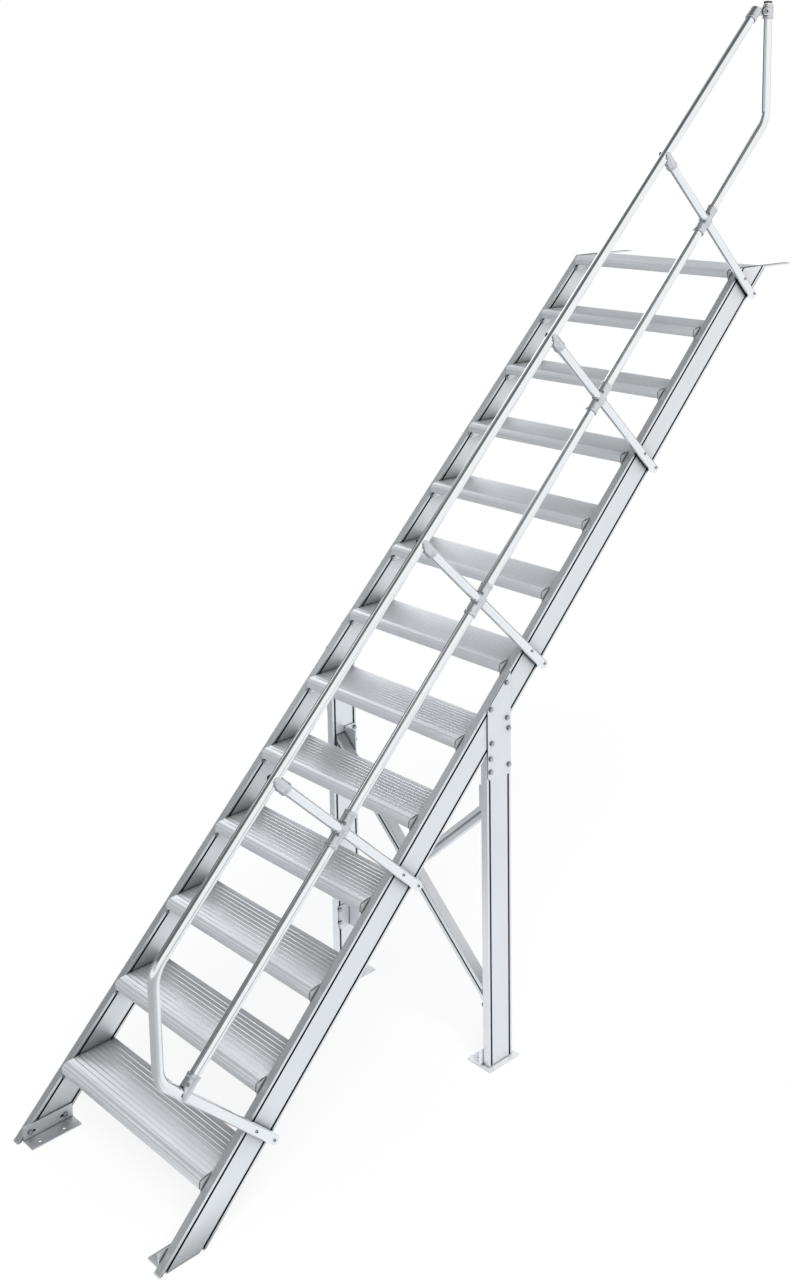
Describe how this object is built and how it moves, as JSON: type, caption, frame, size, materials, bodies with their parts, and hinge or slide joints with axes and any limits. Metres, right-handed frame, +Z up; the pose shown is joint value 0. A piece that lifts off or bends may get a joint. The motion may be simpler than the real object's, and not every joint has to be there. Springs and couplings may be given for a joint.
{
  "type": "stair ladder",
  "caption": "Aluminium stair ladder at 45 degrees: ribbed treads between grooved side rails, legs with crossed braces, floor and landing fixings and a tube handrail on one side",
  "frame": {"origin": "On the floor, on the underside of the right-hand front foot angle, midway between its two floor holes", "axes": "+Z up; +Y level, from the foot of the stair towards the landing; +X to the climbing user's right, the handrail side"},
  "size_m": [0.9184, 3.0352, 3.713],
  "materials": {
    "rail_alloy": "mill-finish extrusion, fine lengthwise lines, satin",
    "tread_alloy": "mill-finish ribbed extrusion, slightly duller than the rails",
    "plate_alloy": "flat rolled plate, satin",
    "tube_alloy": "smooth drawn tube, semi-bright",
    "cast_alloy": "fine sand-cast grey, matte",
    "brace_alloy": "mill-finish extrusion, satin",
    "black_plastic": "moulded black plastic, matte"
  },
  "bodies": {
    "root": {"brace_front": "brace_alloy", "brace_rear": "brace_alloy", "brace_spacer": "plate_alloy", "end_cap": "black_plastic", "front_foot_left": "plate_alloy", "front_foot_right": "plate_alloy", "handrail": "tube_alloy", "handrail_return": "tube_alloy", "knee_connectors": "cast_alloy", "knee_rail": "tube_alloy", "knee_rail_top": "tube_alloy", "landing_strap_left": "plate_alloy", "landing_strap_right": "plate_alloy", "left_brace_brackets": "plate_alloy", "left_gusset": "plate_alloy", "left_leg": "rail_alloy", "left_stringer": "rail_alloy", "left_tread_plates": "plate_alloy", "leg_foot_left": "plate_alloy", "leg_foot_right": "plate_alloy", "lower_tee": "cast_alloy", "post_2": "tube_alloy", "post_3": "tube_alloy", "post_4": "tube_alloy", "post_5": "tube_alloy", "rail_saddles": "cast_alloy", "right_brace_brackets": "plate_alloy", "right_gusset": "plate_alloy", "right_leg": "rail_alloy", "right_stringer": "rail_alloy", "right_tread_plates": "plate_alloy", "top_knuckle": "cast_alloy", "tread_01": "tread_alloy", "tread_02": "tread_alloy", "tread_03": "tread_alloy", "tread_04": "tread_alloy", "tread_05": "tread_alloy", "tread_06": "tread_alloy", "tread_07": "tread_alloy", "tread_08": "tread_alloy", "tread_09": "tread_alloy", "tread_10": "tread_alloy", "tread_11": "tread_alloy", "tread_12": "tread_alloy", "tread_13": "tread_alloy"}
  },
  "joints": []
}
